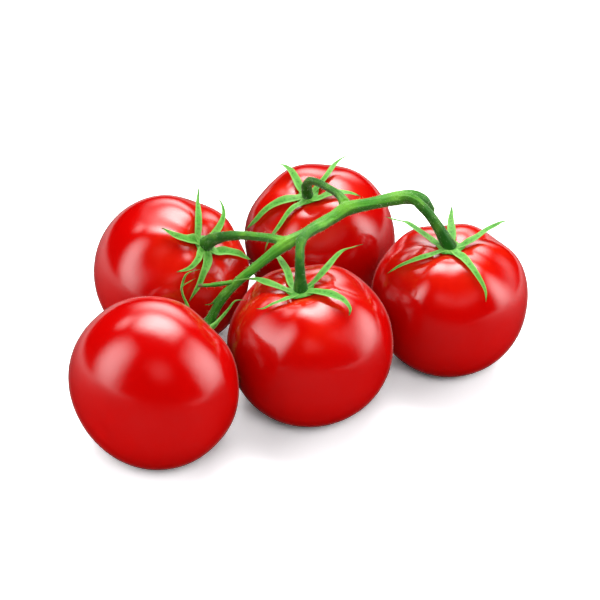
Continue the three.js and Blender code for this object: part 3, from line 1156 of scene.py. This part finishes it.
@dataclass
class Stalk:
    """The stalk from a knuckle to its seat on a calyx."""

    place: Place
    branch: Branch
    overlap: float = 0.6

    def build(self) -> bpy.types.Object:
        """Model the stalk as a tube that starts inside the knuckle.

        Returns:
            The stalk's object.
        """
        start = self.branch.knuckle - self.overlap / self.branch.path.length
        stalk = join([self.branch.tube(start, 1.0, 0.3)], f"pedicel_{self.place.value}")
        StemWork([self.branch]).dress(stalk)
        shade_smooth(stalk)
        return stalk


@dataclass
class SpentStalk:
    """The withered stalk of a flower that set no fruit."""

    branch: Branch

    def build(self) -> bpy.types.Object:
        """Model the withered stalk, its ring and its broken end.

        Returns:
            The withered stalk's object.
        """
        stub = join([self.branch.tube(0.0, 1.0, 0.2)], "spent_stub")
        work = StemWork([self.branch], cut=self.branch.points[-1], rib_height=0.05)
        work.dress(stub)
        shade_smooth(stub)
        return stub


@dataclass
class Fuzz:
    """The fine hairs that stand all over the stems."""

    stems: list[bpy.types.Object]
    per_square_mm: float = 0.9
    length: tuple[float, float] = (0.35, 1.1)
    radius: float = 0.035
    spread: float = 0.35
    droop: float = 0.15

    def build(self) -> bpy.types.Object:
        """Model one hair, and copy it to places drawn over the stems.

        Returns:
            The hairs' object.
        """
        deselect_all()
        bpy.ops.mesh.primitive_cone_add(vertices=3, radius1=1.0, radius2=0.0, depth=1.0, location=(0, 0, 0.5))
        hairs = bpy.context.object
        bpy.ops.object.transform_apply(location=True)
        one = coordinates(hairs)
        faces = [tuple(face.vertices) for face in hairs.data.polygons]
        roots, normals = self._roots()
        rng = np.random.default_rng(7)
        lean = unit(normals + rng.normal(0, self.spread, normals.shape) - np.array([0, 0, self.droop]))
        side = unit(np.cross(lean, rng.normal(0, 1, lean.shape)))
        other = np.cross(lean, side)
        long = rng.uniform(*self.length, len(roots))[:, None, None]
        round_it = side[:, None] * one[None, :, :1] + other[:, None] * one[None, :, 1:2]
        points = roots[:, None] + self.radius * round_it + lean[:, None] * one[None, :, 2:] * long
        mesh = bpy.data.meshes.new("stem_fuzz")
        offsets = np.arange(len(roots)) * len(one)
        copies = [tuple(int(corner + offset) for corner in face) for offset in offsets for face in faces]
        mesh.from_pydata((points.reshape(-1, 3) * MM).tolist(), [], copies)
        hairs.data = mesh
        hairs.name = "stem_fuzz"
        return hairs

    def _roots(self) -> tuple[Array, Array]:
        """Draw the hairs' roots over the stems' faces.

        Returns:
            The roots' places in millimetres and the surface's outward normals.
        """
        rng = np.random.default_rng(3)
        roots, normals = [], []
        for stem in self.stems:
            faces = stem.data.polygons
            centres = np.array([face.center for face in faces]) / MM
            areas = np.array([face.area for face in faces]) / MM**2
            outward = np.array([face.normal for face in faces])
            count = int(areas.sum() * self.per_square_mm)
            chosen = rng.choice(len(centres), count, p=areas / areas.sum())
            roots.append(centres[chosen] + rng.normal(0, 0.15, (count, 3)) - outward[chosen] * 0.1)
            normals.append(outward[chosen])
        return np.vstack(roots), np.vstack(normals)


# ---------------------------------------------------------------------------------------------
# The truss
# ---------------------------------------------------------------------------------------------


def stations(*rows: tuple[float, float, float], **sizes: float) -> Sepal:
    """A sepal from its stations and any sizes of its own."""
    return Sepal(rows, **sizes)


FRUITS = {
    fruit.place: fruit
    for fruit in (
        Fruit(Place.FRONT_LEFT, 32.2, 0.86, 79, 54, 0.05, Lobes(5, 0.02, 20),
              Swell((-0.35, -0.5, -0.79), 1.4, 50), scar=0.0),
        Fruit(Place.BACK_LEFT, 31, 0.95, 42, -36, 0, Lobes(6, 0.03, 10), Swell((-0.6, 0.4, 0.69), 1.6, 45)),
        Fruit(Place.BACK_CENTRE, 31.6, 0.93, 21, -122, 0, Lobes(5, 0.03, 35), Swell((0, 0.5, 0.8), 0.4, 30)),
        Fruit(Place.FRONT_CENTRE, 31.7, 0.92, 9, -146, -0.03, Lobes(5, 0.03, 55)),
        Fruit(Place.RIGHT, 31, 0.935, 5, -110, -0.07, Lobes(6, 0.03, 5)),
    )
}

SEPALS = {
    Place.FRONT_LEFT: (
        stations((-150, 8, 1), (-150, 17, 3.2), (-150, 26, 6.3), (-146, 30, 8.8), half_width=1.6),
        stations((-150, 8, 1), (-150, 17, 3.2), (-149, 28, 7.2), (-146, 30, 8.8), (-136, 35, 11.7),
                 (-128, 34, 14.8), half_width=0.55, fullness=5.0),
        stations((-150, 8, 1), (-150, 17, 3.2), (-147, 29, 7.6), (-137, 31, 9.4), (-130, 32, 11.4),
                 half_width=0.35, fullness=5.0),
        stations((-80, 8, 1.1), (-76, 12, 3.6), (-78, 15, 8.1), half_width=1.5, fullness=3.5),
        stations((-80, 8, 1.1), (-76, 12, 3.6), (-78, 15, 8.1), (-81, 17, 11.7), (-84, 20, 15.1),
                 (-74, 23, 17.5), half_width=0.9, fullness=1.6),
        stations((-8, 8, 1), (4, 26, 1.4), (10, 44, 1.4)),
        stations((72, 8, 1), (78, 26, 2), (76, 46, 2)),
        stations((150, 8, 1), (152, 24, 2), (149, 42, 2.4)),
    ),
    Place.BACK_LEFT: (
        stations((164, 7, 1.2), (136, 13, 1.9), (122, 22, 2.8), (116, 31, 4.5), (113, 39, 8.5),
                 half_width=2.1, fullness=1.3),
        stations((70, 8, 1.2), (71, 18, 2.6), (74, 25, 3.5), (80, 31, 5.2), (89, 33, 7.5), half_width=1.6),
        stations((-173, 8, 1.2), (-163, 15, 1.8), (-166, 23, 2.1), (-172, 34, 4), half_width=2.3),
        stations((-112, 8, 1.1), (-108, 18, 1.6), (-110, 26, 1.8), (-118, 35, 2.4), half_width=1.6),
        stations((-72, 8, 1.1), (-82, 16, 1.6), (-88, 24, 1.9), (-89, 32, 2), (-91, 47, 2.4), half_width=2.1),
        stations((-15, 8, 1.3), (0, 13, 1.9), (5, 20, 2.2), (10, 38, 2.6), half_width=1.9, fullness=3.0),
    ),
    Place.BACK_CENTRE: (
        stations((121, 8, 1.3), (116, 18, 2), (115, 24, 2.8), (118, 31, 4.8), (124, 32, 6), half_width=1.9),
        stations((35, 8, 1.3), (41, 20, 2), (47, 32, 4), (40, 40, 8.5), half_width=1.5, fullness=2.4),
        stations((-169, 8, 1.3), (-164, 14, 2), (-166, 25, 2.2), (-166, 42, 2), (-168, 55, 2.4),
                 half_width=2.0, fullness=2.8),
        stations((-119, 8, 1.3), (-128, 15, 1.6), (-132, 33, 1.9), (-136, 48, 2.2), (-135, 55, 2.8),
                 half_width=1.7, fullness=1.4),
        stations((-40, 8, 1.2), (-19, 15, 1.8), (-8, 28, 2.2), (-7, 39, 2.2), half_width=2.1),
    ),
    Place.FRONT_CENTRE: (
        stations((-178, 7, 1.2), (167, 17, 2.2), (160, 24, 3.2), (163, 28, 5.5), (175, 30, 8.5),
                 (191, 33, 14), half_width=1.8, fullness=1.7),
        stations((140, 7, 1.2), (119, 15, 2.6), (117, 29, 5.5), (118, 40, 7.4), half_width=1.5, fullness=3.0),
        stations((28, 8, 1.4), (32, 16, 3), (41, 26, 6.5), (41, 31, 9), (35, 33, 12), (29, 35, 15),
                 half_width=1.45, fullness=3.0),
        stations((-30, 8, 1.2), (-33, 18, 2.2), (-32, 25, 3), (-31, 30, 3.2), (-34, 37, 2.6), (-40, 40, 2),
                 half_width=1.9, fullness=2.6),
        stations((-124, 7, 1.2), (-133, 14, 1.4), (-141, 21, 1.6), (-147, 28, 1.9), (-151, 31, 3),
                 half_width=1.2, fullness=1.4),
    ),
    Place.RIGHT: (
        stations((164, 7, 1.2), (152, 16, 2), (141, 27, 4), (140, 32, 6), (144, 35, 8.5), (143, 42, 11.5),
                 half_width=1.7, fullness=1.6),
        stations((82, 7, 1.2), (84, 15, 1.8), (84, 21, 3), (82, 34, 7.5), half_width=2.0, fullness=1.8),
        stations((-134, 8, 1.2), (-140, 18, 1.6), (-150, 27, 1.8), (-157, 36, 1.8), (-162, 49, 1.8),
                 half_width=1.5),
        stations((0, 7, 1.4), (9, 13, 2), (19, 25, 5), (17, 32, 9), (10, 35, 11.6), (7, 38, 12.5),
                 half_width=1.8, fullness=1.7),
        stations((-68, 8, 1.2), (-66, 19, 1.6), (-64, 29, 1.7), (-62, 45, 1.7), (-65, 54, 1.9),
                 half_width=2.0, fullness=1.5),
    ),
}

SEAT_HEIGHT = 1.0  # how far over the dimple a stalk's middle line ends
KNOTS = ((34.4, 5.8, 75.7), (15.2, 1.5, 73.7), (-7.6, -14.2, 67.6))


def seat(place: Place) -> tuple[float, ...]:
    """Where a stalk's middle line ends on its fruit."""
    end, _ = FRUITS[place].skin(0.0, 0.0, SEAT_HEIGHT)
    return tuple(end)


# Each branch's tones, light at 0 and dark at 1, are partly the stalks' own darker green and partly painted
# shade.
PEDICELS = {
    Place.FRONT_LEFT: Branch(
        [(48, 15.6, 64.7), (45.1, 12.8, 70.2), (40.6, 9.6, 74.1), (35.2, 6.2, 75.7), (25, 2.5, 75.4),
         (15.4, 1.4, 73.6), (10.4, -1.5, 71.6), (5.6, -5, 70.6), (-0.8, -10.2, 69.1), (-7.3, -14.4, 67.7),
         (-17.8, -19, 61.3), (-26.8, -22.8, 54.8), (-30.6, -24.5, 50.9), (-33.6, -25.8, 46.6),
         (-36.4, -27.4, 41.6), seat(Place.FRONT_LEFT)],
        [2.7, 2.9, 2.9, 2.8, 2.35, 2.7, 2.4, 2.3, 2.2, 2.4, 1.8, 1.8, 1.8, 1.75, 1.9, 2.6],
        (0.8, 0.35, 0.1, 0.25, 0.6), 0.93),
    Place.RIGHT: Branch(
        [(35.2, 5.6, 76), (38.2, 5.2, 76.9), (41.2, 5, 75.5), (44.4, 5.2, 72.3), (47.3, 5.2, 68.9),
         (49.8, 5, 65.3), (51.9, 4.7, 61.9), (53.6, 4.3, 58.9), seat(Place.RIGHT)],
        [2.2, 1.8, 1.8, 1.85, 1.9, 2, 2.2, 2.5, 2.9], (0.1, 0.5, 0.75, 0.85, 1.0), 0.34),
    Place.BACK_CENTRE: Branch(
        [(14.8, 3.5, 74.7), (12.8, 11, 74.1), (8.6, 22, 71.3), (3.6, 34, 67.5), (1.2, 38.8, 64.5),
         (0.3, 41, 61.3), (0.4, 42, 58.4), seat(Place.BACK_CENTRE)],
        [2.2, 1.6, 1.5, 1.5, 1.8, 2.1, 2.2, 2.4], (0.4, 0.7, 0.9, 1.0), 0.76),
    Place.FRONT_CENTRE: Branch(
        [(10.2, -1.5, 71.4), (6.1, -7, 71.2), (2.7, -12.3, 72.6), (0.1, -16.5, 73.1), (-1.7, -20, 72.5),
         (-2.4, -22.8, 71), (-2.5, -25.3, 68.4), (-2.4, -27.1, 63.8), seat(Place.FRONT_CENTRE)],
        [2, 1.85, 1.8, 1.75, 1.75, 1.7, 1.7, 1.85, 2.7], (0.1, 0.2, 0.5, 0.8, 1.0), 0.52),
    Place.BACK_LEFT: Branch(
        [(-7.3, -14.4, 67.9), (-12.1, -10.6, 67.4), (-18, -6.2, 65.7), (-24, -0.5, 62.9), (-30.2, 4.7, 59.6),
         (-34.6, 8, 56.6), (-37.6, 10.3, 53.9), seat(Place.BACK_LEFT)],
        [2.2, 1.75, 1.6, 1.65, 1.8, 2.2, 2.7, 3.1], (0.2, 0.3, 0.6, 1.0), 0.6),
}
BRACT = Branch([(-27.6, -23, 54.6), (-30.6, -24.2, 53.2), (-34, -25.4, 49.7), (-36.1, -26, 48),
                (-38.3, -26.4, 48)], [0.9, 0.75, 0.5, 0.35, 0.25], (0.0, 0.3, 0.5))
SPENT = Branch([(-27.9, -22.8, 55.8), (-30.6, -23.1, 55.5), (-32.9, -23.4, 55.3), (-36.5, -23.6, 54.9),
                (-40.6, -23.6, 54.8)], [0.9, 0.75, 0.8, 0.7, 0.7], (0.0, 0.1), 0.42, 0.2)


# ---------------------------------------------------------------------------------------------
# Studio
# ---------------------------------------------------------------------------------------------


@dataclass(frozen=True)
class Softbox:
    """A soft light: its place, what it looks at, its size and its power in watts."""

    name: str
    place: tuple[float, float, float]
    width: float
    height: float
    power: float
    glossy: bool = True
    aim: tuple[float, float, float] = (0.0, 0.0, 0.03)
    fade: float = 0.46
    gain: float = 1.7

    def build(self) -> None:
        """Add the light, out of the camera's sight, and out of the gloss where it only fills."""
        bpy.ops.object.light_add(type="AREA", location=self.place)
        lamp = bpy.context.object
        lamp.name = self.name
        lamp.data.shape = "RECTANGLE"
        lamp.data.size = self.width
        lamp.data.size_y = self.height
        lamp.data.energy = self.power
        towards = Vector(self.aim) - Vector(self.place)
        lamp.rotation_euler = towards.to_track_quat("-Z", "Y").to_euler()
        lamp.visible_camera = False
        lamp.visible_glossy = self.glossy
        lamp.data.use_nodes = True
        graph = Graph(lamp.data.node_tree)
        across = graph.add("SeparateXYZ", {0: graph.add("NewGeometry").outputs["Parametric"]})
        shares = (self.faded(graph, across.outputs["X"]), self.faded(graph, across.outputs["Y"]))
        strength = graph.times(graph.times(*shares), self.gain)
        emission = lamp.data.node_tree.nodes["Emission"]
        graph.tree.links.new(strength, emission.inputs["Strength"])

    def faded(self, graph: Graph, share: bpy.types.NodeSocket) -> bpy.types.NodeSocket:
        """Brightness across one side of the light, full in the middle and faded to the edges.

        Args:
            graph: The light's nodes.
            share: The place across the side, from 0 to 1.

        Returns:
            The brightness, from 0 to 1.
        """
        return graph.rise(graph.math("MINIMUM", share, graph.rest(share)), 0.0, self.fade)


@dataclass
class Studio:
    """A pale floor, a pale room, the softboxes and the camera."""

    floor_size: float = 8.0
    camera_place: tuple[float, float, float] = (-0.0024, -0.5482, 0.389)
    camera_pitch: float = 57.0
    lens: float = 99.45
    softboxes: tuple[Softbox, ...] = (
        Softbox("overhead", (0.08, 0.34, 0.95), 1.3, 0.85, 20.0),
        Softbox("left", (-0.52, -0.21, 0.3), 0.55, 1.1, 4.0),
        Softbox("right", (0.68, -0.02, 0.3), 0.8, 1.1, 6.2),
        Softbox("back", (0.1, 0.85, 0.6), 1.3, 0.8, 9.0),
        Softbox("back_left", (-0.55, 0.5, 0.8), 0.6, 0.4, 1.2),
        Softbox("front_fill", (0.1, -0.8, 0.75), 0.9, 0.6, 11.0, glossy=False),
    )
    glow: float = 0.05
    floor_seen: Colour = (1.72, 1.66, 1.69)
    floor_bounce: Colour = (0.75, 0.75, 0.75)
    floor_gloss: Colour = (0.008, 0.008, 0.008)
    floor_gloss_far: Colour = (0.45, 0.45, 0.45)
    floor_far: tuple[float, float] = (0.07, 0.45)

    def build_floor(self) -> None:
        """Lay the floor: bright, but dark where it would shine back from under the fruit."""
        deselect_all()
        bpy.ops.mesh.primitive_plane_add(size=self.floor_size)
        floor = bpy.context.object
        floor.name = "floor"
        material = bpy.data.materials.new("pale_floor")
        material.use_nodes = True
        graph = Graph(material.node_tree)
        graph.tree.nodes.remove(material.node_tree.nodes["Principled BSDF"])
        rays = graph.add("LightPath")
        place = graph.add("SeparateXYZ", {0: graph.add("TexCoord").outputs["Object"]})
        sideways = graph.math("ABSOLUTE", place.outputs["X"])
        backwards = graph.times(place.outputs["Y"], 0.4)
        far = graph.rise(graph.math("ADD", sideways, backwards), *self.floor_far)
        gloss = graph.blend(far, self.floor_gloss, self.floor_gloss_far)
        colour = graph.blend(rays.outputs["Is Glossy Ray"], self.floor_bounce, gloss)
        colour = graph.blend(rays.outputs["Is Camera Ray"], colour, self.floor_seen)
        surface = graph.add("BsdfDiffuse", {"Color": colour}).outputs[0]
        output = material.node_tree.nodes["Material Output"]
        graph.tree.links.new(surface, output.inputs["Surface"])
        floor.data.materials.append(material)

    def build_room(self) -> None:
        """Give the room a faint glow, with a white wall where the camera looks past the floor."""
        world = bpy.data.worlds.new("room")
        bpy.context.scene.world = world
        world.use_nodes = True
        graph = Graph(world.node_tree)
        background = world.node_tree.nodes["Background"]
        rays = graph.add("LightPath")
        glow = graph.add("MapRange", {0: rays.outputs["Is Glossy Ray"], 3: self.glow, 4: 0.0}).outputs[0]
        strength = graph.add("MapRange", {0: rays.outputs["Is Camera Ray"], 3: glow, 4: 1.0}).outputs[0]
        graph.tree.links.new(strength, background.inputs["Strength"])
        background.inputs["Color"].default_value = (1.0, 1.0, 1.0, 1.0)

    def build_camera(self) -> None:
        """Set up the camera."""
        bpy.ops.object.camera_add(location=self.camera_place, rotation=(np.radians(self.camera_pitch), 0, 0))
        camera = bpy.context.object
        camera.data.lens = self.lens
        camera.data.sensor_width = 36.0
        camera.data.clip_start = 0.01
        bpy.context.scene.camera = camera

    def build(self) -> None:
        """Set up the whole studio."""
        self.build_floor()
        self.build_room()
        self.build_camera()
        for softbox in self.softboxes:
            softbox.build()
        scene = bpy.context.scene
        scene.view_settings.view_transform = "Standard"
        scene.view_settings.look = "None"


def main() -> None:
    """Build the truss piece by piece, dress it and set it in the studio."""
    logging.basicConfig(level=logging.INFO, format="%(message)s")
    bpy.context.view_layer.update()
    effects = Effects(make_mottle_group(), make_relief_group())
    skin = SkinFinish(SkinLook(), effects).material
    leaf = LeafFinish(LeafLook(), effects).material
    green = StemFinish(GreenLook(), effects).material
    hair = HairFinish(effects).material

    Studio().build()
    stem = MainStem(PEDICELS, BRACT, KNOTS).build()
    hand_in(stem, Slot.STEM, green, "main_stem")
    stems = [stem]
    for place, fruit in FRUITS.items():
        hand_in(fruit.build(), Slot.SKIN, skin, fruit.node)
        hand_in(Calyx(fruit, SEPALS[place]).build(), Slot.CALYX, leaf, f"calyx_{place.value}")
        stalk = Stalk(place, PEDICELS[place]).build()
        hand_in(stalk, Slot.STALK, green, f"stalk_{place.value}")
        stems.append(stalk)
    stub = SpentStalk(SPENT).build()
    hand_in(stub, Slot.WITHERED, green, "spent_flower_stalk")
    stems.append(stub)
    hand_in(Fuzz(stems).build(), Slot.STEM, hair)


if __name__ == "__main__":
    main()
